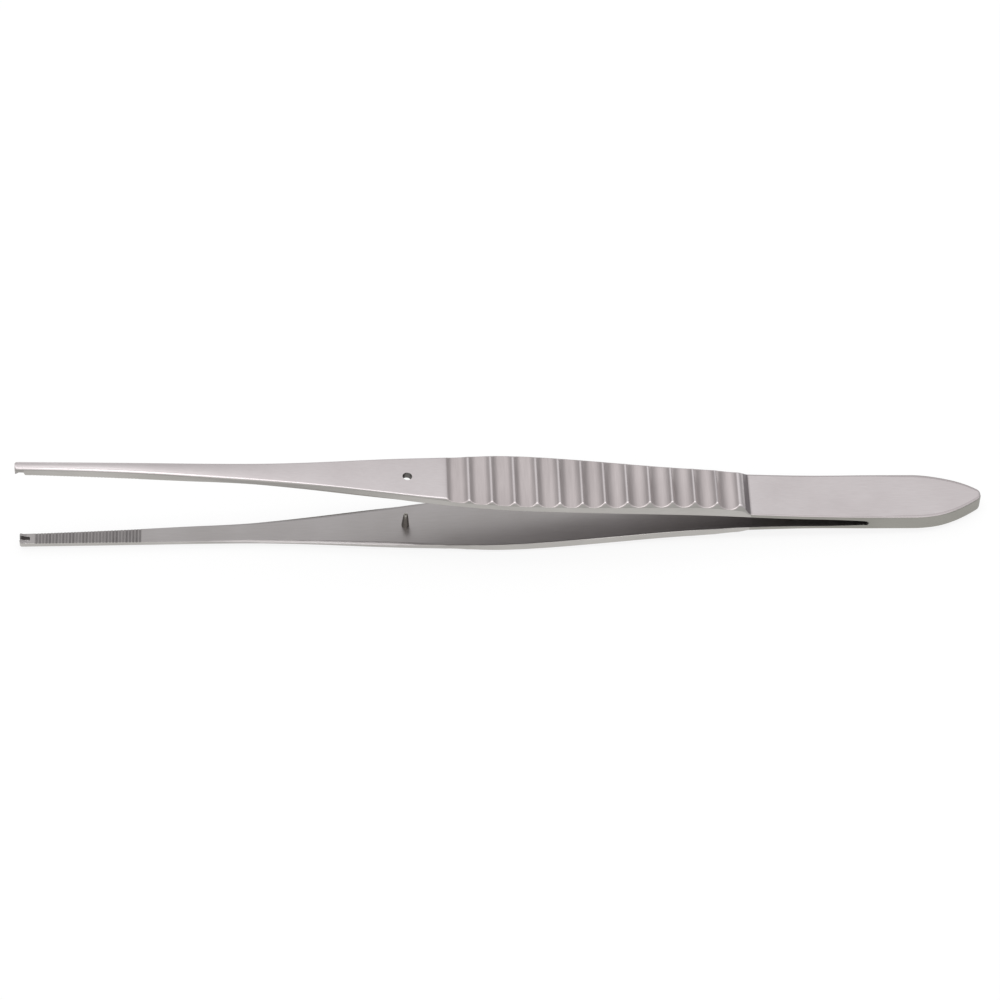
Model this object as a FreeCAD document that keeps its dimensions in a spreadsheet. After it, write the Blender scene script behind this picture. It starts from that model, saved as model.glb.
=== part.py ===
"""Toothed thumb forceps: a welded heel, two sprung arms and a guide pin, in millimetres."""
import math
import os

import FreeCAD
import Part
import Sketcher

os.makedirs("parts", exist_ok=True)
doc = FreeCAD.newDocument("thumb_forceps")
V = FreeCAD.Vector

# every size in the sheet, in mm or degrees
sizes = doc.addObject("Spreadsheet::Sheet", "sizes")
named_sizes = {
    "arm_reach": 131.65,
    "tip_rise": 8.3,
    "grip_half_width": 5.17,
    "heel_length": 18.35,
    "heel_half_width": 4.4,
    "heel_thickness": 2.68,
    "heel_end_radius": 1.3,
    "heel_straight": 7.45,
    "heel_edge_round": 0.7,
    "slot_end_radius": 0.45,
    "spring_thickness": 0.62,
    "pad_start": 19.15,
    "pad_ramp": 0.9,
    "pad_crest": 2.72,
    "pad_slope": 3.14,
    "flute_count": 13,
    "flute_first": 21.6,
    "flute_pitch": 3.507,
    "flute_land": 0.22,
    "flute_depth_heel": 0.8,
    "flute_depth_tip": 0.6,
    "hole_reach": 71.5,
    "hole_radius": 0.75,
    "pin_radius": 0.6,
    "pin_tip_radius": 0.34,
    "pin_height": 2.7,
    "pin_seat_depth": 0.8,
    "pin_lean": 5.0,
    "serration_start": 112.9,
    "serration_pitch": 0.52,
    "serration_count": 32,
    "serration_depth": 0.14,
    "tooth_width": 0.56,
    "tooth_height": 0.62,
    "tooth_length": 0.9,
    "tooth_clearance": 0.09,
    "side_tooth_height": 0.34,
    "tip_recess_depth": 0.56,
    "tip_recess_length": 1.45,
    "tip_corner_radius": 0.35,
}
for row, (name, value) in enumerate(named_sizes.items(), start=1):
    sizes.set(f"A{row}", name)
    sizes.set(f"B{row}", str(value))
    sizes.setAlias(f"B{row}", name)
doc.recompute()


def size(name):
    return float(sizes.get(name))


reach = size("arm_reach")
rise = size("tip_rise")
half = size("grip_half_width")


def outline(points, along=1.0, across=1.0):
    """A smooth curve through points given as fractions of two sizes."""
    stops = [u * along for u, v in points]
    curve = Part.BSplineCurve()
    curve.interpolate(Points=[V(u * along, v * across, 0) for u, v in points], Parameters=stops)
    return lambda u: curve.value(min(max(u, stops[0]), stops[-1])).y


# the side profile: inner face and outer crest, rising from the slot to the tip
inner_face = outline(
    [(0, 0.055), (0.03, 0.084), (0.09, 0.111), (0.152, 0.163), (0.258, 0.287),
     (0.371, 0.436), (0.508, 0.593), (0.713, 0.814), (0.82, 0.894), (1, 1)], reach, rise)
outer_crest = outline(
    [(0.146, 0.386), (0.183, 0.476), (0.216, 0.518), (0.264, 0.563), (0.316, 0.608), (0.371, 0.656),
     (0.426, 0.702), (0.476, 0.727), (0.504, 0.742), (0.546, 0.786), (0.607, 0.847), (0.713, 0.931),
     (0.781, 0.996), (0.849, 1.059), (0.902, 1.096), (1, 1.14)], reach, rise)


def pad_level(u):
    """The plane that the lands of the pad are ground to, and rest on."""
    return size("pad_crest") + u * math.tan(math.radians(size("pad_slope")))


# the plan: half the width of the inner face, widest at the grip
plan = outline(
    [(0, 0.851), (0.061, 0.828), (0.136, 0.812), (0.205, 0.826), (0.258, 0.872), (0.371, 0.983),
     (0.417, 0.998), (0.462, 0.957), (0.508, 0.863), (0.576, 0.702), (0.637, 0.547), (0.713, 0.404),
     (0.781, 0.329), (0.849, 0.269), (0.925, 0.222), (1, 0.193)], reach, half)

# the outer edges: draft of the side wall, then a bevel with a run and a drop
wall_draft = outline(
    [(0.145, 0.058), (0.227, 0.052), (0.311, 0.024), (0.455, 0.022), (0.515, 0.047),
     (0.728, 0.054), (0.819, 0.056), (1, 0.036)], reach, half)
bevel_run = outline(
    [(0.145, 0.166), (0.227, 0.182), (0.311, 0.135), (0.455, 0.097), (0.515, 0.066),
     (0.728, 0.072), (0.834, 0.126), (1, 0.105)], reach, half)
bevel_drop = outline(
    [(0.145, 0.157), (0.227, 0.163), (0.311, 0.14), (0.455, 0.1), (0.485, 0.093), (0.508, 0.058),
     (0.531, 0.03), (0.57, 0.024), (0.65, 0.024), (0.728, 0.026), (0.819, 0.048), (1, 0.048)], reach, half)


def section(u, wall_half, wall_z, crest_half, crest_z):
    """The closed cross-section of an arm at u from the heel, inner face first."""
    base = plan(u)
    low = inner_face(u)
    side = [(base, low), (wall_half, wall_z), (crest_half, crest_z)]
    around = side + [(-y, z) for y, z in reversed(side)]
    return Part.makePolygon([V(-u, y, z) for y, z in around + around[:1]])


def pad_section(u):
    base = plan(u)
    crest = outer_crest(u)
    return section(u, base - wall_draft(u), crest - bevel_drop(u), base - bevel_run(u), crest)


def spring_section(u, top):
    edge = 0.1 * size("spring_thickness")
    base = plan(u)
    return section(u, base, top - edge, base - edge, top)


def forged_arm():
    """One arm without its holes and teeth: thin spring plate, ramp, fluted pad, slender tip."""
    pad = size("pad_start")
    foot = pad - size("pad_ramp")
    heel_top = size("heel_thickness") / 2
    plate_top = outline(
        [(0, heel_top), (0.45 * foot, heel_top + 0.13 * size("spring_thickness")),
         (foot, inner_face(foot) + size("spring_thickness"))])
    plate = Part.makeLoft([spring_section(foot * k / 6, plate_top(foot * k / 6)) for k in range(7)], True)
    ramp = Part.makeLoft([spring_section(foot, plate_top(foot)), pad_section(pad)], True, True)
    span = reach - pad
    stations = [pad + span * k / 30 for k in range(31)]
    blade = Part.makeLoft([pad_section(u) for u in stations], True)
    return plate.fuse([ramp, blade]).removeSplitter()


def flutes():
    """Round cross grooves whose rims meet in narrow lands on the crest of the pad."""
    count = int(size("flute_count"))
    chord = (size("flute_pitch") - size("flute_land")) / 2
    cutters = []
    for k in range(count):
        u = size("flute_first") + k * size("flute_pitch")
        part_way = k / (count - 1)
        depth = size("flute_depth_heel") * (1 - part_way) + size("flute_depth_tip") * part_way
        radius = (chord * chord + depth * depth) / (2 * depth)
        crest = min(outer_crest(u), pad_level(u))
        centre = V(-u, -2 * half, crest + radius - depth)
        cutters.append(Part.makeCylinder(radius, 4 * half, centre, V(0, 1, 0)))
    return cutters


def serrations():
    """Fine V grooves across the inner face of the tip."""
    pitch = size("serration_pitch")
    depth = size("serration_depth")
    cutters = []
    for k in range(int(size("serration_count"))):
        u = size("serration_start") + k * pitch
        root = V(-u, -half, inner_face(u) + depth)
        front = V(-u - pitch * 0.6, -half, inner_face(u) - depth * 0.4)
        back = V(-u + pitch * 0.6, -half, inner_face(u) - depth * 0.4)
        face = Part.Face(Part.makePolygon([root, front, back, root]))
        cutters.append(face.extrude(V(0, 2 * half, 0)))
    return cutters


def tip_corners():
    """What the rounding takes off the two corners of the tip."""
    radius = size("tip_corner_radius")
    edge = plan(reach)
    taken = []
    for side in (-1, 1):
        disc = Part.makeCylinder(radius, 3 * rise, V(-reach + radius, side * (edge - radius), 0))
        quarter = Part.makeBox(1.5 * radius, 1.5 * radius, 3 * rise)
        quarter.translate(V(-reach - 0.5 * radius, edge - radius if side > 0 else -edge - 0.5 * radius, 0))
        taken.append(quarter.cut(disc))
    return taken


def slab(x0, x1, y0, y1, z0, z1):
    return Part.makeBox(x1 - x0, y1 - y0, z1 - z0, V(x0, y0, z0))


def wedge(profile, y0, y1):
    """A prism across the arm from a profile of (u, z) points."""
    corners = [V(-u, y0, z) for u, z in profile]
    face = Part.Face(Part.makePolygon(corners + corners[:1]))
    return face.extrude(V(0, y1 - y0, 0))


tooth_half = size("tooth_width") / 2
tip_z = inner_face(reach)
side_gap = tooth_half + size("tooth_clearance")
side_edge = plan(reach) - 1.3 * size("tooth_clearance")


def single_toothed(arm):
    """The upper tip: both sides cut back, one tooth left in the middle."""
    length = size("tip_recess_length")
    depth = size("tip_recess_depth")
    for y0, y1 in ((tooth_half, half), (-half, -tooth_half)):
        recess = slab(-reach - length, -reach + length, y0, y1, 0, tip_z + depth)
        arm = arm.cut(recess)
    point_z = tip_z - size("tooth_height")
    root_z = tip_z + 0.7 * depth
    back = reach - size("tooth_length")
    flat = reach - 0.16 * size("tooth_length")
    tooth = wedge([(reach, root_z), (reach, point_z), (flat, point_z), (back, tip_z), (back, root_z)],
                  -tooth_half, tooth_half)
    return arm.fuse(tooth).removeSplitter()


def double_toothed(arm):
    """The lower tip: a notch down the middle between two teeth."""
    depth = size("tooth_height") + 0.7 * size("tooth_clearance")
    length = size("tip_recess_length")
    u0 = reach - length
    notch = [V(-u0, -side_gap, tip_z - depth), V(-u0, side_gap, tip_z - depth),
             V(-u0, side_gap, tip_z + depth * 0.55), V(-u0, side_gap * 0.5, tip_z + depth),
             V(-u0, -side_gap * 0.5, tip_z + depth), V(-u0, -side_gap, tip_z + depth * 0.55)]
    channel = Part.Face(Part.makePolygon(notch + notch[:1])).extrude(V(-2 * length, 0, 0))
    arm = arm.cut(channel)
    height = size("side_tooth_height")
    front = reach - 0.15 * height
    root_z = tip_z + 0.6 * height
    profile = [(front, root_z), (front, tip_z - 0.8 * height),
               (front - 0.45 * height, tip_z - height), (reach - 3.2 * height, root_z)]
    for y0, y1 in ((side_gap, side_edge), (-side_edge, -side_gap)):
        arm = arm.fuse(wedge(profile, y0, y1))
    return arm.removeSplitter()


# the guide hole stands square to the inner face, and the pin leans a little from square to the heel
hole_u = size("hole_reach")
hole_foot = V(-hole_u, 0, inner_face(hole_u))
lean = math.atan((inner_face(hole_u + 1) - inner_face(hole_u - 1)) / 2)
outward = V(math.sin(lean), 0, math.cos(lean))
pin_angle = lean - math.radians(size("pin_lean"))
pin_inward = V(-math.sin(pin_angle), 0, math.cos(pin_angle))

above = wedge([(size("pad_start"), pad_level(size("pad_start"))), (reach / 2, pad_level(reach / 2)),
               (reach / 2, 2 * rise), (size("pad_start"), 2 * rise)], -2 * half, 2 * half)
whole = forged_arm().cut(above).cut(flutes()).cut(serrations()).cut(tip_corners())

through_hole = Part.makeCylinder(size("hole_radius"), 4 * rise, hole_foot - outward * rise, outward)
upper_shape = single_toothed(whole).cut(through_hole)

seat_depth = size("pin_seat_depth")
seat_way = V(-pin_inward.x, 0, pin_inward.z)
seat = Part.makeCylinder(size("pin_radius"), 2 * seat_depth, hole_foot - seat_way * seat_depth, seat_way)
lower_shape = double_toothed(whole).cut(seat).mirror(V(0, 0, 0), V(0, 0, 1))

upper_arm = doc.addObject("Part::Feature", "upper_arm")
upper_arm.Shape = upper_shape
lower_arm = doc.addObject("Part::Feature", "lower_arm")
lower_arm.Shape = lower_shape


def bind(sketch, kind, indices, name, expression):
    """A driving dimension named in the sketch and bound to the sheet."""
    number = sketch.addConstraint(Sketcher.Constraint(kind, *indices))
    sketch.renameConstraint(number, name)
    sketch.setExpression(f"Constraints.{name}", expression)


def origin_plane(body, role):
    for feature in body.Origin.OriginFeatures:
        if feature.Role == role:
            return feature


# heel: the spade-shaped end where the two arms are welded into one thickness
heel = doc.addObject("PartDesign::Body", "heel")
spade = heel.newObject("Sketcher::SketchObject", "spade")
spade.AttachmentSupport = (origin_plane(heel, "XY_Plane"), [""])
spade.MapMode = "FlatFace"
long = size("heel_length")
wide = size("heel_half_width")
end = size("heel_end_radius")
straight = size("heel_straight")
taper = long - straight
flank = ((taper - end) ** 2 + wide ** 2 - end ** 2) / (2 * (wide - end))
bend = math.atan2(taper - end, flank - wide)
turn = V(long - end + end * math.sin(bend), end * math.cos(bend), 0)


def flank_arc(side):
    centre = V(straight, side * (wide - flank), 0)
    first = math.pi / 2 - bend if side > 0 else -math.pi / 2
    last = math.pi / 2 if side > 0 else bend - math.pi / 2
    return Part.ArcOfCircle(Part.Circle(centre, V(0, 0, 1), flank), first, last)


spade.addGeometry(Part.LineSegment(V(0, wide, 0), V(0, -wide, 0)))
spade.addGeometry(Part.LineSegment(V(0, -wide, 0), V(straight, -wide, 0)))
spade.addGeometry(flank_arc(-1))
spade.addGeometry(Part.ArcOfCircle(
    Part.Circle(V(long - end, 0, 0), V(0, 0, 1), end), bend - math.pi / 2, math.pi / 2 - bend))
spade.addGeometry(flank_arc(1))
spade.addGeometry(Part.LineSegment(V(straight, wide, 0), V(0, wide, 0)))
spade.addConstraint([
    Sketcher.Constraint("PointOnObject", 3, 3, -1),
    Sketcher.Constraint("Equal", 2, 4),
    Sketcher.Constraint("Coincident", 0, 2, 1, 1),
    Sketcher.Constraint("Tangent", 1, 2, 2, 1),
    Sketcher.Constraint("Tangent", 2, 2, 3, 1),
    Sketcher.Constraint("Tangent", 3, 2, 4, 1),
    Sketcher.Constraint("Tangent", 4, 2, 5, 1),
    Sketcher.Constraint("Coincident", 5, 2, 0, 1),
    Sketcher.Constraint("Horizontal", 1),
    Sketcher.Constraint("Horizontal", 5),
    Sketcher.Constraint("Symmetric", 0, 1, 0, 2, -1),
    Sketcher.Constraint("PointOnObject", 0, 1, -2),
])
bind(spade, "DistanceY", (0, 2, 0, 1, 2 * wide), "width", "<<sizes>>.heel_half_width * 2")
bind(spade, "DistanceX", (1, 1, 1, 2, straight), "straight", "<<sizes>>.heel_straight")
bind(spade, "Radius", (3, end), "end_radius", "<<sizes>>.heel_end_radius")
bind(spade, "DistanceX", (-1, 1, 3, 3, long - end), "end_centre",
     "<<sizes>>.heel_length - <<sizes>>.heel_end_radius")

block = heel.newObject("PartDesign::Pad", "block")
block.Profile = spade
block.setExpression("Length", "<<sizes>>.heel_thickness")
block.Midplane = True
doc.recompute()
solid_volume = block.Shape.Volume

slot = heel.newObject("Sketcher::SketchObject", "slot_end")
slot.AttachmentSupport = (origin_plane(heel, "XZ_Plane"), [""])
slot.MapMode = "FlatFace"
slot.addGeometry(Part.Circle(V(0, 0, 0), V(0, 0, 1), size("slot_end_radius")))
slot.addConstraint(Sketcher.Constraint("Coincident", 0, 3, -1, 1))
bind(slot, "Radius", (0, size("slot_end_radius")), "radius", "<<sizes>>.slot_end_radius")
groove = heel.newObject("PartDesign::Pocket", "slot_groove")
groove.Profile = slot
groove.Type = "ThroughAll"
groove.Midplane = True
doc.recompute()
assert groove.Shape.Volume < solid_volume

rim = heel.newObject("PartDesign::Fillet", "rounded_end")
edges = []
for number, edge in enumerate(groove.Shape.Edges, start=1):
    box = edge.BoundBox
    if box.ZLength < 1e-6 and box.XMax > straight + 0.01:
        edges.append(f"Edge{number}")
rim.Base = (groove, edges)
rim.setExpression("Radius", "<<sizes>>.heel_edge_round")

# guide pin: a plain shank pressed into the lower arm, tapering to a rounded point
guide_pin = doc.addObject("PartDesign::Body", "guide_pin")
half_profile = guide_pin.newObject("Sketcher::SketchObject", "pin_profile")
half_profile.AttachmentSupport = (origin_plane(guide_pin, "XZ_Plane"), [""])
half_profile.MapMode = "FlatFace"
radius = size("pin_radius")
point = size("pin_tip_radius")
deep = size("pin_seat_depth")
tall = size("pin_height")
collar = 0.5 * radius
nose = 0.36 * point
corners = [(0, -deep), (radius, -deep), (radius, collar), (point, tall - nose), (point * 0.6, tall), (0, tall)]
for (x0, y0), (x1, y1) in zip(corners, corners[1:] + corners[:1]):
    half_profile.addGeometry(Part.LineSegment(V(x0, y0, 0), V(x1, y1, 0)))
for k in range(6):
    half_profile.addConstraint(Sketcher.Constraint("Coincident", k, 2, (k + 1) % 6, 1))
half_profile.addConstraint([
    Sketcher.Constraint("Horizontal", 0),
    Sketcher.Constraint("Vertical", 1),
    Sketcher.Constraint("Horizontal", 4),
    Sketcher.Constraint("PointOnObject", 5, 2, -2),
    Sketcher.Constraint("PointOnObject", 5, 1, -2),
])
bind(half_profile, "DistanceX", (0, 1, 0, 2, radius), "shank", "<<sizes>>.pin_radius")
bind(half_profile, "DistanceY", (0, 1, -1, 1, deep), "seat", "<<sizes>>.pin_seat_depth")
bind(half_profile, "DistanceY", (-1, 1, 5, 1, tall), "height", "<<sizes>>.pin_height")
bind(half_profile, "DistanceY", (-1, 1, 1, 2, collar), "collar", "<<sizes>>.pin_radius * 0.5")
bind(half_profile, "DistanceX", (5, 1, 3, 1, point), "point", "<<sizes>>.pin_tip_radius")
bind(half_profile, "DistanceX", (5, 1, 3, 2, point * 0.6), "nose", "<<sizes>>.pin_tip_radius * 0.6")
bind(half_profile, "DistanceY", (3, 1, 5, 1, nose), "nose_height", "<<sizes>>.pin_tip_radius * 0.36")
turned = guide_pin.newObject("PartDesign::Revolution", "turned")
turned.Profile = half_profile
turned.ReferenceAxis = (half_profile, ["V_Axis"])
turned.Angle = 360
doc.recompute()

# the forceps lies on the pad of its lower arm, with the heel end and the tips just clear of the table
pitch = FreeCAD.Rotation(V(0, 1, 0), size("pad_slope"))
pin_turn = FreeCAD.Rotation(V(0, 0, 1), pin_inward)
pin_base = V(hole_foot.x, 0, -hole_foot.z)
box = FreeCAD.BoundBox()
for shape in (upper_shape, lower_shape, heel.Shape):
    turned_shape = shape.copy()
    turned_shape.Placement = FreeCAD.Placement(V(0, 0, 0), pitch).multiply(shape.Placement)
    box.add(turned_shape.optimalBoundingBox(False))
rest = FreeCAD.Placement(V(-box.Center.x, 0, -box.ZMin), pitch)
upper_arm.Placement = rest
lower_arm.Placement = rest
heel.Placement = rest
guide_pin.Placement = rest.multiply(FreeCAD.Placement(pin_base, pin_turn))

doc.recompute()
for item in doc.Objects:
    if "Invalid" in item.State or "Error" in item.State:
        raise RuntimeError(f"{item.Label} did not recompute: {item.State}")
for item in (heel, upper_arm, lower_arm, guide_pin):
    shape = item.Shape
    if not shape.isValid() or len(shape.Solids) != 1:
        raise RuntimeError(f"{item.Label}: valid {shape.isValid()}, solids {len(shape.Solids)}")
    shape.exportStep(f"parts/{item.Label}.step")
    print(item.Label, "volume", round(shape.Volume, 1), "mm3")
print("pivot", rest.multVec(V(0, 0, 0)), "hole", rest.multVec(hole_foot))
print("overall", box.XLength, box.YLength, box.ZLength)
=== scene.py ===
import bpy
import math
import numpy as np
from mathutils import Vector, Matrix


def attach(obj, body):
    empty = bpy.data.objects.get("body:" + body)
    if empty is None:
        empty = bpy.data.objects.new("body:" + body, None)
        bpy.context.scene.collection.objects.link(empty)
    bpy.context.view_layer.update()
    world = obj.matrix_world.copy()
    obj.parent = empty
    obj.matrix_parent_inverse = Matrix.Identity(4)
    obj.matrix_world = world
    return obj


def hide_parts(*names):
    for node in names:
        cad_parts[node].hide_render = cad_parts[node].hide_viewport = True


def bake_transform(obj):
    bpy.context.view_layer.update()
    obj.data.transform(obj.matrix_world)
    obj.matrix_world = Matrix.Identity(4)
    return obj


# Toothed thumb forceps lying open on a pale table: two satin steel leaves welded at the heel
# and a turned guide pin. The leaves are worked out in mm along u, the distance from the weld
# towards the tips, then laid on the table and put in metres.

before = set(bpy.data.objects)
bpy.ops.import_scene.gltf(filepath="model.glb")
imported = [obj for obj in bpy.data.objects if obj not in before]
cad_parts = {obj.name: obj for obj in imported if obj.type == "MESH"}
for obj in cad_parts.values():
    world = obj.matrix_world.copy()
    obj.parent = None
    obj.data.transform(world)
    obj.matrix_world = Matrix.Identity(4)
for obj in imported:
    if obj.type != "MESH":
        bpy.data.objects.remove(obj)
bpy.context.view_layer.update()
print("frame loaded", sorted(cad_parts))


# small helpers

def linearColour(hexCode):
    # sRGB hex to linear light, channel by channel
    value = hexCode.lstrip("#")
    parts = [int(value[i:i + 2], 16) / 255 for i in (0, 2, 4)]
    return tuple(c / 12.92 if c <= 0.04045 else ((c + 0.055) / 1.055) ** 2.4 for c in parts) + (1.0,)


def curveThrough(points):
    # natural cubic spline through (u, value) pairs: second derivatives from one linear solve,
    # then a cubic in each span, held flat beyond both ends
    x, y = np.array(points, float).T
    h = np.diff(x)
    n = len(x)
    system = np.eye(n)
    right = np.zeros(n)
    for i in range(1, n - 1):
        system[i, i - 1:i + 2] = h[i - 1], 2 * (h[i - 1] + h[i]), h[i]
        right[i] = 6 * ((y[i + 1] - y[i]) / h[i] - (y[i] - y[i - 1]) / h[i - 1])
    bend = np.linalg.solve(system, right)

    def value(u):
        u = np.clip(np.asarray(u, float), x[0], x[-1])
        i = np.clip(np.searchsorted(x, u) - 1, 0, n - 2)
        a, b = x[i + 1] - u, u - x[i]
        return (bend[i] * a ** 3 / (6 * h[i]) + bend[i + 1] * b ** 3 / (6 * h[i])
                + (y[i] / h[i] - bend[i] * h[i] / 6) * a + (y[i + 1] / h[i] - bend[i + 1] * h[i] / 6) * b)
    return value


def smoothStep(x, start, end):
    # cubic ease from 0 at start to 1 at end
    t = np.clip((x - start) / (end - start), 0, 1)
    return t * t * (3 - 2 * t)


# how the forceps lies: the weld's centre on the table frame, tipped so the lower pad lies flat
rest = {"weldX": 56.806, "weldZ": 2.7159, "pitchDeg": 3.14}


def toTable(points):
    # leaf coordinates in mm, tips towards -x, turned about the weld and moved to the table, in metres
    turn = math.radians(rest["pitchDeg"])
    x, y, z = points[..., 0], points[..., 1], points[..., 2]
    return np.stack([x * math.cos(turn) + z * math.sin(turn) + rest["weldX"], y,
                     -x * math.sin(turn) + z * math.cos(turn) + rest["weldZ"]], axis=-1) * 0.001


def meshFromRings(name, rings, faceMaterials, materials):
    # rings is (stations, around, 3): quads join each ring to the next, and one face closes each end
    stations, around = rings.shape[:2]
    i, j = np.meshgrid(np.arange(stations - 1), np.arange(around), indexing="ij")
    k = (j + 1) % around
    quads = np.stack([i * around + j, i * around + k, (i + 1) * around + k, (i + 1) * around + j], axis=-1)
    firstCap = np.arange(around)[::-1]
    lastCap = np.arange(around) + (stations - 1) * around
    faces = quads.reshape(-1, 4).tolist() + [firstCap.tolist(), lastCap.tolist()]
    mesh = bpy.data.meshes.new(name)
    mesh.from_pydata(rings.reshape(-1, 3).tolist(), [], faces)
    for material in materials:
        mesh.materials.append(material)
    slots = np.append(faceMaterials.reshape(-1), [0, 0]).astype(np.int32)
    mesh.polygons.foreach_set("material_index", slots)
    mesh.polygons.foreach_set("use_smooth", np.ones(len(slots), bool))
    mesh.update()
    piece = bpy.data.objects.new(name, mesh)
    bpy.context.scene.collection.objects.link(piece)
    return piece


# materials

def addNode(owner, kind, settings=None, links=None, at=(0, 0)):
    # one node with its settings and its incoming links; owner is a material or the world
    node = owner.node_tree.nodes.new(kind)
    node.location = at
    for key, value in (settings or {}).items():
        if isinstance(key, int) or key in node.inputs:
            node.inputs[key].default_value = value
        else:
            setattr(node, key, value)
    for target, source in (links or {}).items():
        owner.node_tree.links.new(source, node.inputs[target])
    return node


# stainless steel in each finish that the photo shows, several of them darkened with painted shade; grainMm is
# the length and width of its grain, and the finest grain is drawn as coarse as the render can show
steelLooks = {
    # outer faces: satin brushed, even and slightly warm, softly mirror-like
    "satinOuter": {"pale": "#cec8c9", "deep": "#c2bbbc", "rough": (0.3, 0.42), "grainMm": (6.0, 0.12),
                   "bump": 0.02},
    # side walls: ground on a wheel, and a little darker as painted shade for walls turned away from the light
    "wallPaintedShade": {"pale": "#bab7b3", "deep": "#aca9a5", "rough": (0.3, 0.4), "grainMm": (3.0, 0.1),
                   "bump": 0.02},
    # the side of the heel and spring: dressed back and greener, and darker still as painted shade
    "heelWallPaintedShade": {"pale": "#a8a6a0", "deep": "#9a9892", "rough": (0.45, 0.55), "grainMm": (3.0, 0.1),
                 "bump": 0.02},
    # the hollow foot of the pad's shoulder: painted shade, dark in the concave corner turned from the light
    "hollowPaintedShade": {"pale": "#918b8d", "deep": "#847e80", "rough": (0.38, 0.48), "grainMm": (0.3, 2.0),
                   "bump": 0.02},
    # rounded edges of the heel and spring: the outer finish, duller where the wheel left it, and a shade
    # darker as painted shade that tones down their highlight
    "dullEdgePaintedShade": {"pale": "#beb7b8", "deep": "#b3acad", "rough": (0.5, 0.6), "grainMm": (3.0, 0.12),
                 "bump": 0.02},
    # flutes: milled across the arm, greyer as painted shade for the grooves, with the cutter's fine lines
    # along each groove
    "milledFlutePaintedShade": {"pale": "#c6bebe", "deep": "#b6aeae", "rough": (0.3, 0.42), "grainMm": (0.16, 4.0),
                    "bump": 0.03},
    # inner faces: darker as painted shade for the gap between the arms
    "innerPaintedShade": {"pale": "#a9a5a5", "deep": "#9e9a99", "rough": (0.3, 0.39), "grainMm": (2.5, 0.2),
                  "bump": 0.03},
    # serrations: the inner faces' finish, darker still as painted shade for the cut grooves
    "serrationPaintedShade": {"pale": "#a09c9b", "deep": "#949090", "rough": (0.38, 0.5), "grainMm": (0.3, 1.2),
                      "bump": 0.04},
    # the bore of the guide hole: drilled and dull, and dark as painted shade inside the hole
    "borePaintedShade": {"pale": "#807d7b", "deep": "#6e6b69", "rough": (0.4, 0.5), "grainMm": (0.4, 0.4),
                    "bump": 0.03},
    # the pin: turned and left darker than the leaves
    "turnedPin": {"pale": "#a5a19b", "deep": "#938f89", "rough": (0.2, 0.28), "grainMm": (0.4, 0.4),
                  "bump": 0.02},
}
# the broad cloud over every finish: 90 to the metre makes patches about 11 mm across
steelPattern = {"cloudPerMetre": 90.0, "cloudShare": 0.55, "toneLow": 0.35, "toneHigh": 0.65, "bumpMm": 0.1}


def steelMaterial(name, look):
    # colour follows a fine grain along the forceps and a broad cloud; roughness and bump follow the grain
    material = bpy.data.materials.new(name)
    material.use_nodes = True
    shader = material.node_tree.nodes["Principled BSDF"]
    shader.inputs["Metallic"].default_value = 1.0
    place = addNode(material, "ShaderNodeTexCoord", at=(-1200, 0)).outputs["Object"]
    longMm, wideMm = look["grainMm"]
    spread = addNode(material, "ShaderNodeMapping", {"Scale": (1000 / longMm, 1000 / wideMm, 1000 / wideMm)},
                     {"Vector": place}, (-1000, 0))
    grain = addNode(material, "ShaderNodeTexNoise", {"Scale": 1.0, "Detail": 3.0, "Roughness": 0.6},
                    {"Vector": spread.outputs["Vector"]}, (-800, 100)).outputs["Fac"]
    cloud = addNode(material, "ShaderNodeTexNoise", {"Scale": steelPattern["cloudPerMetre"], "Detail": 2.0},
                    {"Vector": place}, (-800, -200)).outputs["Fac"]
    both = addNode(material, "ShaderNodeMix", {"data_type": "FLOAT", "Factor": steelPattern["cloudShare"]},
                   {2: grain, 3: cloud}, (-600, 0))
    tone = addNode(material, "ShaderNodeMapRange",
                   {"From Min": steelPattern["toneLow"], "From Max": steelPattern["toneHigh"]},
                   {"Value": both.outputs[0]}, (-420, 100))
    ends = {"data_type": "RGBA", 6: linearColour(look["deep"]), 7: linearColour(look["pale"])}
    colour = addNode(material, "ShaderNodeMix", ends, {0: tone.outputs["Result"]}, (-220, 150))
    rough = addNode(material, "ShaderNodeMapRange", {"To Min": look["rough"][0], "To Max": look["rough"][1]},
                    {"Value": grain}, (-220, -80))
    bump = addNode(material, "ShaderNodeBump",
                   {"Strength": look["bump"], "Distance": steelPattern["bumpMm"] / 1000},
                   {"Height": grain}, (-220, -280))
    links = material.node_tree.links
    links.new(colour.outputs[2], shader.inputs["Base Color"])
    links.new(rough.outputs["Result"], shader.inputs["Roughness"])
    links.new(bump.outputs["Normal"], shader.inputs["Normal"])
    return material


steels = {name: steelMaterial(name, look) for name, look in steelLooks.items()}
print("materials ready", sorted(steels))


# the leaves, all in mm: outlines are u from the weld, then a height or a half width

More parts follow.
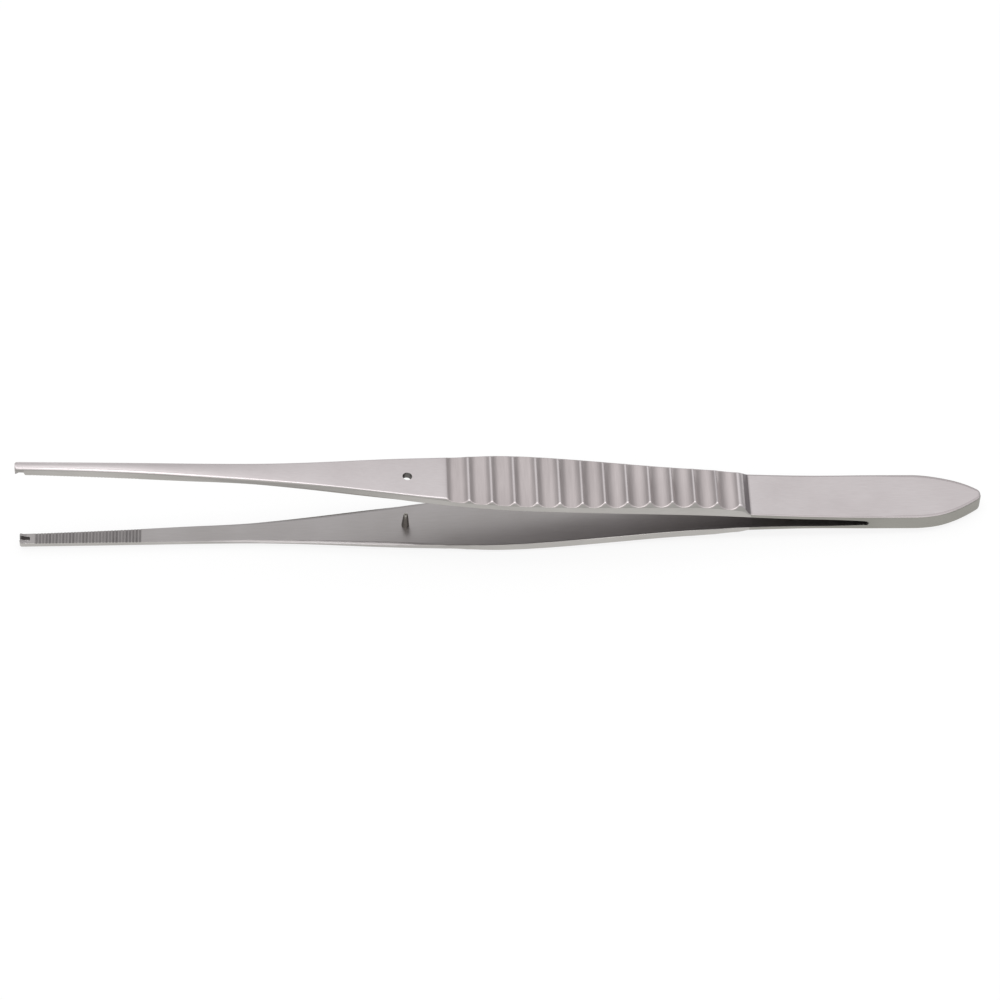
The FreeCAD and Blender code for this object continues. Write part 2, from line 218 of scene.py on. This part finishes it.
# the first ring stands a hair short of the heel's very end, and the inner edges stay sharp up to the slot
heel = {"length": 18.35, "halfWidth": 4.4, "top": 1.34, "endRadius": 1.3, "straight": 7.45,
        "edgeRound": 0.4, "roundFrom": 1.0, "lean": 0.4, "leanStart": 11.0,
        "slotRadius": 0.45, "sharpTo": 0.2, "sharp": 1e-4, "firstAngle": 0.026}
spring = {"thickness": 0.62, "edge": 0.14, "edgeRound": 0.2, "wallRound": 0.01,
          "archAt": 0.45, "arch": 0.08}
pad = {"start": 19.6, "ramp": 1.72, "crest": 2.72, "hollow": (0.1, 0.6)}
pad["foot"] = pad["start"] - pad["ramp"]
leaf = {
    "reach": 131.65,
    "inner": [(0, 0.457), (4, 0.697), (11.9, 0.921), (20, 1.353), (34, 2.382), (48.9, 3.619), (67, 4.922),
              (94, 6.756), (108.2, 7.42), (131.65, 8.3)],
    "crest": [(19.3, 3.2), (24.1, 3.95), (28.5, 4.3), (34.8, 4.673), (41.7, 5.046), (48.9, 5.445),
              (56.2, 5.827), (62.8, 6.034), (66.5, 6.16), (72, 6.52), (80, 7.03), (94, 7.73), (103, 8.25),
              (112, 8.79), (119, 9.1), (131.65, 9.46)],
    "plan": [(0, 4.4), (8, 4.28), (17.9, 4.2), (27, 4.27), (34, 4.51), (48.9, 5.08), (55, 5.16), (60.9, 4.95),
             (67, 4.46), (76, 3.63), (84, 2.83), (94, 2.09), (103, 1.7), (112, 1.39), (122, 1.15),
             (131.65, 1.0)],
    # how far the wall leans in, then how far the bevel runs in from the plan and drops from the crest
    "wallDraft": [(19.1, 0.3), (30, 0.27), (41, 0.125), (60, 0.115), (68, 0.243), (96, 0.279), (108, 0.29),
                  (131.65, 0.186)],
    "bevelRun": [(19.1, 0.86), (30, 0.94), (41, 0.7), (60, 0.5), (68, 0.46), (96, 0.5), (110, 0.42),
                 (131.65, 0.3)],
    "bevelDrop": [(19.1, 0.81), (30, 0.843), (41, 0.724), (60, 0.517), (64, 0.481), (67, 0.3), (70, 0.2),
                  (75.2, 0.17), (85.7, 0.17), (96, 0.17), (108, 0.11), (131.65, 0.08)],
    # how far back each rounding reaches, and how far the outer face bows across
    "edgeRound": [(0, 0.2), (18, 0.2), (22, 0.2), (64, 0.2), (72, 0.16), (96, 0.18), (110, 0.26),
                  (131.65, 0.26)],
    "innerRound": [(0, 0.1), (20, 0.2), (30, 0.55), (60, 0.55), (68, 0.16), (110, 0.2), (128, 0.14),
                   (131.65, 0.12)],
    "crown": [(0, 0.0), (64, 0.0), (76, 0.03), (96, 0.13), (112, 0.22), (131.65, 0.22)],
    "crownRise": 0.3, "wallRound": 0.08, "leastCrest": 0.02, "tipCorner": 0.35, "sharpDeg": 38,
}
outlines = {key: curveThrough(value) for key, value in leaf.items() if isinstance(value, list)}
# the inner bevel fades in past the pad and out before the serrations
innerBevel = {"run": 0.42, "rise": 0.27, "fadeIn": (66, 75), "fadeOut": (95, 109)}
# a flute's cut stops short of the wall's top, and its finish starts where it is milledFrom deep
flute = {"count": 13, "first": 21.6, "pitch": 3.507, "land": 0.22, "depthHeel": 0.8, "depthTip": 0.6,
         "landRound": 0.045, "landSpread": 0.07, "milledFrom": 0.06, "mostOfBevel": 0.97}
# halfShare is of the pitch, and atRim is how much of a groove's depth reaches the face's edge
serration = {"first": 112.9, "pitch": 0.52, "count": 32, "depth": 0.14, "halfShare": 0.42,
             "uneven": 0.14, "scatter": 1.7, "atRim": 0.3}
# the single tooth, the pair with the gap between them, and the recess that the other arm's tooth enters
tooth = {"half": 0.28, "flank": 0.035, "height": 0.62, "length": 0.9, "land": 0.14,
         "gap": 0.37, "gapFlank": 0.1, "clearance": 0.04, "sideHeight": 0.34, "sideLength": 1.1,
         "sideLand": 0.2, "sideDrop": 0.25, "dropLength": 0.15, "outside": (0.84, 0.93),
         "recessDepth": 0.56, "recessLength": 1.45, "runIn": 0.15, "runOut": 0.1, "rimAt": 0.97}

# places round the half ring: shares of the inner and of the outer face, steps in each rounding, and the
# most of a side that a rounding may take
faceShares = np.array([0, 0.14, 0.25, 0.275, 0.3, 0.33, 0.37, 0.42, 0.6, 0.78, 0.86, 0.92])
topShares = np.array([0.94, 0.8, 0.55, 0.28])
cornerSteps = 5
mostOfSide = 0.45
# how many stations each stretch of the leaf gets, where they stand in a flute, a groove, the pad's edge and
# the tip, and the room between one stretch and the next
stations = {"heelEnd": 40, "heelSide": 6, "slotEnd": 8, "spring": 26, "ramp": 9, "arm": 70, "tip": 56,
            "halfFlute": [0.17, 0.34, 0.52, 0.7, 0.84, 0.94, 1], "groove": [-0.5, -0.4, -0.2, 0, 0.2, 0.4],
            "padEdge": [0.1, 0.4], "tipEdge": [0.12, 0.09, 0.05, 0.02, 0.0], "close": 0.1, "clear": 0.3}
zoneLooks = ["satinOuter", "wallPaintedShade", "innerPaintedShade", "heelWallPaintedShade", "milledFlutePaintedShade", "dullEdgePaintedShade", "serrationPaintedShade",
             "hollowPaintedShade"]
zoneOf = {look: number for number, look in enumerate(zoneLooks)}


def crestHeight(u):
    # the lands of the pad are ground to the plane that the lower arm rests on
    level = pad["crest"] + u * math.tan(math.radians(rest["pitchDeg"]))
    return np.minimum(outlines["crest"](u), level)


def stationsAlong():
    # where the leaf is sampled: closest at the heel's end, the ramp, the flutes, the grooves and the tip
    close, clear = stations["close"], stations["clear"]
    taper = heel["length"] - heel["straight"]
    endTurn = np.linspace(heel["firstAngle"], math.pi / 2, stations["heelEnd"])
    heelEnd = -heel["length"] + taper * (1 - np.cos(endTurn))
    heelSide = np.linspace(-heel["straight"], -heel["slotRadius"] - close / 2, stations["heelSide"])
    slotEnd = -heel["slotRadius"] * np.cos(np.linspace(0, math.pi / 2, stations["slotEnd"]))
    plate = np.linspace(clear, pad["foot"] - close, stations["spring"])
    ramp = np.linspace(pad["foot"], pad["start"], stations["ramp"])
    padEdge = pad["start"] + np.array(stations["padEdge"])

    halfFlute = np.array(stations["halfFlute"])
    inFlute = np.concatenate([-halfFlute[::-1], [0], halfFlute]) * (flute["pitch"] - flute["land"]) / 2
    fluteAt = flute["first"] + flute["pitch"] * np.arange(flute["count"])
    flutes = (fluteAt[:, None] + inFlute).ravel()
    grooveAt = serration["first"] + serration["pitch"] * np.arange(serration["count"])
    grooves = (grooveAt[:, None] + serration["pitch"] * np.array(stations["groove"])).ravel()
    arm = np.linspace(flutes[-1] + clear, grooves[0] - clear, stations["arm"])
    tipEdge = leaf["reach"] - np.array(stations["tipEdge"])
    tip = np.linspace(grooves[-1] + close, tipEdge[0], stations["tip"])
    parts = [heelEnd, heelSide, slotEnd, plate, ramp, padEdge, flutes, arm, grooves, tip, tipEdge]
    return np.unique(np.round(np.concatenate(parts), 4))


def heelHalfWidth(u):
    # plan of the heel: straight sides, long flank arcs, then a small round end, each tangent to the next
    wide, end = heel["halfWidth"], heel["endRadius"]
    taper = heel["length"] - heel["straight"]
    flank = ((taper - end) ** 2 + wide ** 2 - end ** 2) / (2 * (wide - end))
    turnAt = end * (1 - (taper - end) / (flank - end))
    fromEnd = u + heel["length"]
    nose = np.sqrt(np.clip(end ** 2 - (end - fromEnd) ** 2, 0, None))
    side = np.sqrt(np.clip(flank ** 2 - (taper - fromEnd) ** 2, 0, None)) - (flank - wide)
    return np.where(fromEnd < turnAt, nose, np.where(fromEnd < taper, side, wide))


def quarterDrop(distance, radius):
    # how far a quarter circle has fallen away at a distance from the end that it rounds
    short = np.sqrt(np.clip(radius ** 2 - (radius - distance) ** 2, 0, None))
    return np.where(distance < radius, radius - short, 0)


def halfWidth(u):
    # the plan of the heel and the leaf, with the tip's corners rounded
    plan = np.where(u < 0, heelHalfWidth(u), outlines["plan"](u))
    return plan - quarterDrop(leaf["reach"] - u, leaf["tipCorner"])


def plateTop(u):
    # outer face of the heel and the spring plate, its far end rounded over
    top = heel["top"]
    footTop = float(outlines["inner"](pad["foot"])) + spring["thickness"]
    archAt = spring["archAt"] * pad["foot"]
    plate = curveThrough([(0, top), (archAt, top + spring["arch"]), (pad["foot"], footTop)])
    level = np.where(u < 0, top, plate(np.clip(u, 0, pad["foot"])))
    return level - quarterDrop(u + heel["length"], heel["edgeRound"])


def fluteDepth(u):
    # how far the flutes cut below the crest: circular arcs that meet in narrow rounded lands
    k = np.arange(flute["count"])
    halfChord = (flute["pitch"] - flute["land"]) / 2
    deep = flute["depthHeel"] + (flute["depthTip"] - flute["depthHeel"]) * k / (flute["count"] - 1)
    radius = (halfChord ** 2 + deep ** 2) / (2 * deep)
    off = np.abs(u[:, None] - (flute["first"] + flute["pitch"] * k))
    arc = np.sqrt(np.clip(radius ** 2 - off ** 2, 0, None)) - (radius - deep)
    cut = np.where(off <= halfChord, arc, 0).max(axis=1)
    edge = np.exp(-((off - halfChord) / flute["landSpread"]) ** 2).max(axis=1)
    return cut + flute["landRound"] * edge


def serrationDepth(u):
    # V grooves with flats between them, cut by hand to uneven depths
    k = np.arange(serration["count"])
    share = (1 - serration["uneven"]) + serration["uneven"] * np.sin(k * k * serration["scatter"])
    off = np.abs(u[:, None] - (serration["first"] + serration["pitch"] * k))
    groove = serration["depth"] * share * (1 - off / (serration["pitch"] * serration["halfShare"]))
    return np.clip(groove, 0, None).max(axis=1)


def innerFaceRise(u, across, style):
    # height of the inner face over its plain curve, positive away from the other arm: the recess that the
    # other arm's tooth enters, less this arm's own single tooth or pair of teeth
    fromTip = leaf["reach"] - u[:, None]
    y = np.abs(across)
    recessEnd = -tooth["recessLength"]
    inRecess = smoothStep(-fromTip, recessEnd - tooth["runIn"], recessEnd + tooth["runOut"])
    if style == "single":
        side = smoothStep(y, tooth["half"], tooth["half"] + tooth["flank"])
        slope = np.clip((tooth["length"] - fromTip) / (tooth["length"] - tooth["land"]), 0, 1)
        return inRecess * side * tooth["recessDepth"] - slope * tooth["height"] * (1 - side)
    middle = 1 - smoothStep(y, tooth["gap"] - tooth["gapFlank"], tooth["gap"])
    slope = np.clip((tooth["sideLength"] - fromTip) / (tooth["sideLength"] - tooth["sideLand"]), 0, 1)
    drop = 1 - tooth["sideDrop"] * smoothStep(-fromTip, -tooth["dropLength"], 0)
    outside = 1 - smoothStep(y, *tooth["outside"])
    recess = inRecess * middle * (tooth["height"] + tooth["clearance"])
    return recess - slope * drop * tooth["sideHeight"] * (1 - middle) * outside


def roundedCorner(before, corner, after, reachBack, steps):
    # a quadratic curve that leaves one side and joins the next, each at reachBack from the corner
    def towards(point):
        gap = point - corner
        length = np.linalg.norm(gap, axis=-1, keepdims=True) + 1e-9
        return corner + gap / length * np.minimum(reachBack[:, None], mostOfSide * length)
    a, b = towards(before), towards(after)
    t = np.linspace(0, 1, steps)[None, :, None]
    return (1 - t) ** 2 * a[:, None] + 2 * t * (1 - t) * corner[:, None] + t ** 2 * b[:, None]


def outerEdges(u, wide):
    # where the side wall and the crest end, each as half width and height: up the ramp, the plate's square
    # edge becomes the pad's wall and bevel
    rampUp = smoothStep(u, pad["foot"], pad["start"])

    def mix(plate, padded):
        return plate + (padded - plate) * rampUp
    onPlate = plateTop(u)
    wallHalf = mix(wide, wide - outlines["wallDraft"](u))
    wallTop = mix(onPlate - spring["edge"], crestHeight(u) - outlines["bevelDrop"](u))
    crestHalf = np.maximum(mix(wide - spring["edge"], wide - outlines["bevelRun"](u)), leaf["leastCrest"])
    crestTop = mix(onPlate, crestHeight(u))

    # a flute lowers the crest, and its rim slides down the bevel
    bevelDrop = crestTop - wallTop
    cut = np.minimum(fluteDepth(u), bevelDrop * flute["mostOfBevel"])
    crestHalf = crestHalf + (wallHalf - crestHalf) * cut / bevelDrop
    crestTop = crestTop - cut

    # past the pad the outer face bows across, more and more towards the tips
    crown = outlines["crown"](np.clip(u, 0, None))
    bow = crown / wallHalf ** 2
    centre = crestTop + leaf["crownRise"] * crown
    crestTop = centre - bow * crestHalf ** 2
    wallTop = wallTop - (1 - leaf["crownRise"]) * crown
    return wallHalf, wallTop, crestHalf, crestTop, centre, bow


def roundingReach(u):
    # how far each rounding reaches back: along the crest's edge, the inner face's edge and the wall's top
    towardsHeelEnd = smoothStep(-u, heel["roundFrom"], heel["straight"])
    onHeel = spring["edgeRound"] + (heel["edgeRound"] - spring["edgeRound"]) * towardsHeelEnd
    crestEdge = np.where(u < 0, onHeel, outlines["edgeRound"](u))
    innerEdge = np.where(u < heel["sharpTo"], heel["sharp"], outlines["innerRound"](u))
    wallEdge = np.where(u < pad["foot"], spring["wallRound"], leaf["wallRound"])
    return crestEdge, innerEdge, wallEdge


def faceZones(u, around):
    # which finish or painted shade each quad takes: first by its place round the ring, then by its station
    u = u[:-1, None]
    wallFrom = len(faceShares)
    edgeFrom = wallFrom + cornerSteps * 2
    zone = np.full(around, zoneOf["satinOuter"])
    # the inner faces take painted shade
    zone[:wallFrom] = zoneOf["innerPaintedShade"]
    # the side walls take painted shade
    zone[wallFrom:edgeFrom] = zoneOf["wallPaintedShade"]
    # the crest's rounded edges take the duller finish with painted shade
    zone[edgeFrom:edgeFrom + cornerSteps] = zoneOf["dullEdgePaintedShade"]
    zone[around // 2:] = zone[:around // 2][::-1]
    zones = np.repeat(zone[None, :], len(u), axis=0)
    onPlate = u < pad["foot"]
    # on the heel and spring the walls take a darker painted shade
    zones[onPlate & (zones == zoneOf["wallPaintedShade"])] = zoneOf["heelWallPaintedShade"]
    zones[~onPlate & (zones == zoneOf["dullEdgePaintedShade"])] = zoneOf["satinOuter"]
    # the serrated stretch of the inner faces takes a darker painted shade
    middle = serration["first"] + serration["pitch"] * (serration["count"] - 1) / 2
    serrated = abs(u - middle) < serration["pitch"] * serration["count"] / 2
    zones[serrated & (zones == zoneOf["innerPaintedShade"])] = zoneOf["serrationPaintedShade"]
    # the hollow foot of the ramp takes painted shade
    upRamp = (u - pad["foot"]) / pad["ramp"]
    inHollow = (upRamp > pad["hollow"][0]) & (upRamp < pad["hollow"][1])
    zones[inHollow & (zones == zoneOf["satinOuter"])] = zoneOf["hollowPaintedShade"]
    # the flutes take the greyer finish with painted shade
    inFlutes = fluteDepth(u[:, 0])[:, None] > flute["milledFrom"]
    zones[inFlutes & (zones == zoneOf["satinOuter"])] = zoneOf["milledFlutePaintedShade"]
    return zones


def leafRings(style):
    # one closed ring for each station: inner face, side wall, bevel, crest, and back down the other side
    u = stationsAlong()
    wide = halfWidth(u)
    slot = np.sqrt(np.clip(heel["slotRadius"] ** 2 - u ** 2, 0, None))
    low = np.where(u < 0, slot, outlines["inner"](u))
    wallHalf, wallTop, crestHalf, crestTop, centre, bow = outerEdges(u, wide)
    crestEdge, innerEdge, wallEdge = roundingReach(u)

    # between the pad and the serrations the inner face has a narrow bevel along both edges
    bevelled = smoothStep(u, *innerBevel["fadeIn"]) * (1 - smoothStep(u, *innerBevel["fadeOut"]))
    lastShare = faceShares[-1]
    faceHalf = np.minimum(lastShare * wide, wide - innerBevel["run"] * bevelled)
    face = faceShares[None, :] / lastShare * faceHalf[:, None]
    grooves = serrationDepth(u)
    faceZ = (low + grooves)[:, None] + innerFaceRise(u, face, style)
    rimZ = (low + innerBevel["rise"] * bevelled + serration["atRim"] * grooves
            + innerFaceRise(u, wide[:, None] * tooth["rimAt"], style)[:, 0])

    innerFace = np.stack([face, faceZ], axis=-1)
    rim = np.stack([wide, rimZ], axis=-1)
    wallEnd = np.stack([wallHalf, wallTop], axis=-1)
    crestEnd = np.stack([crestHalf, crestTop], axis=-1)
    # the bow's tangent at the crest's edge passes over the middle at this height
    overMiddle = np.stack([crestHalf * 0, crestTop + 2 * bow * crestHalf ** 2], axis=-1)
    bevelTop = roundedCorner(wallEnd, crestEnd, overMiddle, crestEdge, cornerSteps + 1)
    topY = bevelTop[:, -1, :1] * topShares
    crest = np.stack([topY, centre[:, None] - bow[:, None] * topY ** 2], axis=-1)
    rimEdge = roundedCorner(innerFace[:, -1], rim, wallEnd, innerEdge, cornerSteps)
    wallEdgeTop = roundedCorner(rim, wallEnd, crestEnd, wallEdge, cornerSteps)
    right = np.concatenate([innerFace, rimEdge, wallEdgeTop, bevelTop, crest], axis=1)
    ridge = np.stack([crestHalf * 0, centre], axis=-1)[:, None]
    left = right[:, 1:][:, ::-1] * np.array([-1, 1])
    ring = np.concatenate([right, ridge, left], axis=1)
    around = ring.shape[1]

    # the heel's end is ground a little to the far side
    lean = heel["lean"] * smoothStep(-u, heel["leanStart"], heel["length"])[:, None]
    points = np.stack([np.repeat(-u[:, None], around, axis=1), ring[..., 0] + lean, ring[..., 1]], axis=-1)
    return points, faceZones(u, around)


def makeLeaf(name, style, side, nodes):
    # side is 1 for the upper leaf and -1 for the lower, its mirror, whose rings then run the other way
    points, zones = leafRings(style)
    points = points * np.array([1, 1, side])
    if side < 0:
        points = points[:, ::-1]
        zones = np.roll(zones[:, ::-1], -1, axis=1)
    piece = meshFromRings(name, toTable(points), zones, [steels[look] for look in zoneLooks])
    piece.data.set_sharp_from_angle(angle=math.radians(leaf["sharpDeg"]))
    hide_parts(*nodes)
    return piece


upperLeaf = makeLeaf("upperLeaf", "single", 1, ["upper_arm"])
lowerLeaf = makeLeaf("lowerLeaf", "double", -1, ["lower_arm", "heel"])
print("leaves made", len(upperLeaf.data.polygons), "faces each")


# the guide pin and the hole that it enters, in mm; the pin's outline is (radius, height) from its foot

pin = {"u": 71.5, "leanDeg": 5.0, "radius": 0.6, "seat": 0.7, "height": 2.7, "point": 0.34, "pole": 0.02,
       "segments": 40, "sharpDeg": 50}
pin["outline"] = [(pin["pole"], -pin["seat"]), (pin["radius"], -pin["seat"]), (pin["radius"], 0.26),
                  (pin["radius"] * 0.985, 0.34), (0.53, 0.95), (0.46, 1.6), (pin["point"] + 0.03, 2.35),
                  (pin["point"], 2.52), (0.29, 2.61), (0.2, 2.67), (pin["pole"], pin["height"])]
# the allowance takes in the outer face's bow at the hole
guideHole = {"radius": 0.75, "chamfer": 0.04, "overrun": 0.5, "allowance": 0.06, "segments": 48}


def turnedAbout(name, profile, base, axis, segments, materials):
    # a profile of (radius, height) spun about an axis that stands at base, closed at both poles
    profile = np.array(profile, float)
    angle = np.linspace(0, 2 * math.pi, segments, endpoint=False)
    axis = np.array(axis) / np.linalg.norm(axis)
    across = np.array([0.0, 1.0, 0.0])
    along = np.cross(across, axis)
    spin = np.cos(angle)[:, None] * along + np.sin(angle)[:, None] * across
    rings = base + profile[:, :1, None] * spin[None] + profile[:, 1:, None] * axis
    return meshFromRings(name, toTable(rings), np.zeros((len(profile) - 1, segments), int), materials)


def makeGuidePin(foot, slope):
    # the pin stands on the lower leaf's inner face, a few degrees from square towards the heel
    angle = slope - math.radians(pin["leanDeg"])
    piece = turnedAbout("guidePinTurned", pin["outline"], np.array([-pin["u"], 0.0, -foot]),
                        [-math.sin(angle), 0.0, math.cos(angle)], pin["segments"], [steels["turnedPin"]])
    piece.data.set_sharp_from_angle(angle=math.radians(pin["sharpDeg"]))
    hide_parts("guide_pin")
    return piece


def drillGuideHole(leafPiece, foot, slope):
    # a drill with a chamfer at both faces is taken out of the leaf, and leaves its own material, dark with
    # painted shade, in the bore
    thickness = float(outlines["crest"](pin["u"])) + guideHole["allowance"] - foot
    radius, chamfer, overrun = guideHole["radius"], guideHole["chamfer"], guideHole["overrun"]
    halfDrill = [(radius + chamfer + overrun, -overrun), (radius + chamfer, 0.0), (radius, chamfer)]
    profile = halfDrill + [(r, thickness - height) for r, height in halfDrill[::-1]]
    drill = turnedAbout("drill", profile, np.array([-pin["u"], 0.0, foot]),
                        [math.sin(slope), 0.0, math.cos(slope)], guideHole["segments"],
                        [steels["borePaintedShade"]])
    boring = leafPiece.modifiers.new("guideHole", "BOOLEAN")
    boring.operation = "DIFFERENCE"
    boring.solver = "EXACT"
    boring.object = drill
    boring.material_mode = "TRANSFER"
    bpy.context.view_layer.objects.active = leafPiece
    bpy.ops.object.modifier_apply(modifier="guideHole")
    bpy.data.objects.remove(drill)
    leafPiece.data.set_sharp_from_angle(angle=math.radians(leaf["sharpDeg"]))


innerAtPin = float(outlines["inner"](pin["u"]))
slopeAtPin = math.atan(float(outlines["inner"](pin["u"] + 1) - outlines["inner"](pin["u"] - 1)) / 2)
guidePin = makeGuidePin(innerAtPin, slopeAtPin)
drillGuideHole(upperLeaf, innerAtPin, slopeAtPin)
print("pin and hole made")


# each leaf's placement is baked into its mesh; the pin stays on the lower arm
for piece, body in ((upperLeaf, "upper"), (lowerLeaf, "lower")):
    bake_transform(piece)
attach(guidePin, "lower")


# table, room, lamp and camera, in metres

studio = {"table": "#ffffff", "tableSize": 6.0, "tableGlow": 0.82, "skyLow": 0.36, "skyHigh": 1.25,
          "sideShare": 0.4, "openLow": 0.15, "openHigh": 0.95}
softBox = {"radiance": 1.85, "size": (1.1, 0.34), "place": (0.0, -0.05, 0.9), "aim": (0, 0, 0)}
shot = {"azimuthDeg": -0.763, "elevationDeg": 50.0, "distance": 0.7057, "rollDeg": -1.636,
        "aim": (0.00005, 0.0, 0.00656), "lens": 163.42, "sensor": 36.0, "clip": (0.01, 20.0)}


def whiteCard():
    # matt white card; what looks straight at it or mirrors it sees mostly its own white, and less of
    # the shadow
    card = bpy.data.materials.new("whiteCardTable")
    card.use_nodes = True
    shader = card.node_tree.nodes["Principled BSDF"]
    shader.inputs["Base Color"].default_value = linearColour(studio["table"])
    shader.inputs["Roughness"].default_value = 1.0
    shader.inputs["Specular IOR Level"].default_value = 0.0
    ray = addNode(card, "ShaderNodeLightPath", at=(-800, 300))
    straight = addNode(card, "ShaderNodeMath", {"operation": "MAXIMUM"},
                       {0: ray.outputs["Is Camera Ray"], 1: ray.outputs["Is Glossy Ray"]}, (-600, 300))
    seen = addNode(card, "ShaderNodeMath", {"operation": "MAXIMUM"},
                   {0: straight.outputs[0], 1: ray.outputs["Is Transmission Ray"]}, (-420, 300))
    share = addNode(card, "ShaderNodeMath", {"operation": "MULTIPLY", 1: studio["tableGlow"]},
                    {0: seen.outputs[0]}, (-240, 300))
    glow = addNode(card, "ShaderNodeEmission", {"Color": (1, 1, 1, 1), "Strength": 1.0}, at=(-60, -300))
    mixed = addNode(card, "ShaderNodeMixShader", None,
                    {0: share.outputs[0], 1: shader.outputs["BSDF"], 2: glow.outputs["Emission"]}, (200, 100))
    surface = card.node_tree.nodes["Material Output"].inputs["Surface"]
    card.node_tree.links.new(mixed.outputs["Shader"], surface)
    return card


def makeTable():
    # the pale floor that the forceps lies on, which isn't part of it
    bpy.ops.mesh.primitive_plane_add(size=studio["tableSize"], location=(0, 0, 0))
    table = bpy.context.active_object
    table.name = "tableTop"
    table.data.materials.append(whiteCard())


def makeRoom():
    # palest overhead, softer in front and behind, greyest at the two ends: strength follows z squared
    # and a share of y squared
    world = bpy.data.worlds.new("softStudio")
    bpy.context.scene.world = world
    world.use_nodes = True
    background = world.node_tree.nodes["Background"]
    background.inputs["Color"].default_value = (1, 1, 1, 1)
    direction = addNode(world, "ShaderNodeTexCoord", at=(-800, 0)).outputs["Generated"]
    parts = addNode(world, "ShaderNodeSeparateXYZ", None, {0: direction}, (-600, 0))
    upward = addNode(world, "ShaderNodeMath", {"operation": "POWER", 1: 2.0}, {0: parts.outputs["Z"]},
                     (-440, 120))
    sideways = addNode(world, "ShaderNodeMath", {"operation": "POWER", 1: 2.0}, {0: parts.outputs["Y"]},
                       (-440, -80))
    openness = addNode(world, "ShaderNodeMath", {"operation": "MULTIPLY_ADD", 1: studio["sideShare"]},
                       {0: sideways.outputs[0], 2: upward.outputs[0]}, (-260, 0))
    sky = addNode(world, "ShaderNodeMapRange", {"From Min": studio["openLow"], "From Max": studio["openHigh"],
                                                "To Min": studio["skyLow"], "To Max": studio["skyHigh"]},
                  {"Value": openness.outputs[0]}, (-80, 0))
    world.node_tree.links.new(sky.outputs["Result"], background.inputs["Strength"])


def hangSoftBox():
    # one long soft lamp overhead; its energy follows from its radiance and its area
    lamp = bpy.data.lights.new("overheadSoftBox", "AREA")
    lamp.shape = "RECTANGLE"
    lamp.size, lamp.size_y = softBox["size"]
    lamp.energy = softBox["radiance"] * math.pi * softBox["size"][0] * softBox["size"][1]
    lampObject = bpy.data.objects.new("overheadSoftBox", lamp)
    bpy.context.scene.collection.objects.link(lampObject)
    lampObject.location = softBox["place"]
    beam = Vector(softBox["aim"]) - Vector(softBox["place"])
    lampObject.rotation_euler = beam.to_track_quat("-Z", "Y").to_euler()


def placeCamera():
    # at the photograph's viewing angle, looking at aim from a distance
    camera = bpy.data.objects.new("photoCamera", bpy.data.cameras.new("photoCamera"))
    bpy.context.scene.collection.objects.link(camera)
    azimuth, elevation = math.radians(shot["azimuthDeg"]), math.radians(shot["elevationDeg"])
    backward = Vector((math.sin(azimuth) * math.cos(elevation), -math.cos(azimuth) * math.cos(elevation),
                       math.sin(elevation)))
    camera.location = Vector(shot["aim"]) + backward * shot["distance"]
    turn = backward.to_track_quat("Z", "Y").to_matrix().to_4x4()
    camera.rotation_euler = (turn @ Matrix.Rotation(math.radians(shot["rollDeg"]), 4, "Z")).to_euler()
    camera.data.lens = shot["lens"]
    camera.data.sensor_width = shot["sensor"]
    camera.data.clip_start, camera.data.clip_end = shot["clip"]
    bpy.context.scene.camera = camera


makeTable()
makeRoom()
hangSoftBox()
placeCamera()
bpy.context.scene.view_settings.view_transform = "Standard"
print("table, room, lamp and camera ready")
